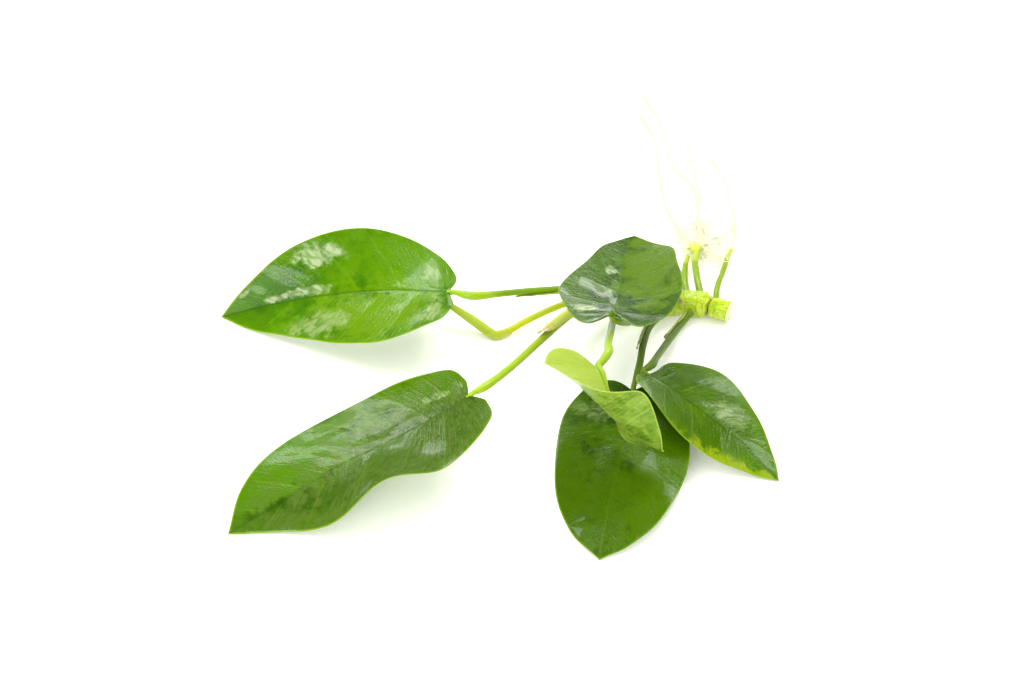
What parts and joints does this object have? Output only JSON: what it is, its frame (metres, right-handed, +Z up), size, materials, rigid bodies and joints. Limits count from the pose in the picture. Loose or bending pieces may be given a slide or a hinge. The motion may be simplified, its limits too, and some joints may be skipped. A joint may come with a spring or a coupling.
{
  "type": "bare-root anubias plant",
  "caption": "Bare-root aquarium plant lying flat: a creeping rhizome with broad wet leaves on bent stalks, a furled young leaf, split sheaths and pale washed roots.",
  "frame": {"origin": "the middle of the flat on the underside of the rhizome, on the surface that the plant lies on", "axes": "+Z up from the surface; +Y towards the tips of the roots; -Y towards the front leaves; -X towards the tip of the left leaf"},
  "size_m": [0.1509, 0.2087, 0.0348],
  "materials": {
    "wet_leaf": "wet gloss, mid green",
    "dark_leaf": "wet gloss, deep green",
    "pale_leaf": "satin, pale yellow-green underside",
    "stalk": "satin, olive green",
    "dark_stalk": "satin, dark green",
    "young": "satin, yellow-green",
    "rhizome": "moist, yellow-green with brown leaf scars",
    "sheath": "dull, cream with a brown edge",
    "green_root": "satin, green",
    "pale_root": "translucent, cream"
  },
  "bodies": {
    "root": {"blade_left": "wet_leaf", "blade_front_left": "wet_leaf", "blade_right": "wet_leaf", "blade_round": "dark_leaf", "blade_front": "dark_leaf", "blade_curled": "pale_leaf", "stalk_left": "stalk", "stalk_front_left": "stalk", "stalk_round": "stalk", "stalk_curled": "stalk", "stalk_front": "dark_stalk", "stalk_right": "dark_stalk", "stalk_young": "young", "young_leaf": "young", "sheath_left": "stalk", "sheath_front_left": "sheath", "sheath_front": "sheath", "sheath_right": "sheath", "rhizome": "rhizome", "root_collar": "green_root", "root_green_left": "green_root", "root_green_centre": "green_root", "root_green_right": "green_root", "root_long_centre": "pale_root", "root_long_left": "pale_root", "root_side_branch": "pale_root", "root_long_right": "pale_root", "root_mat": "pale_root"}
  },
  "joints": []
}
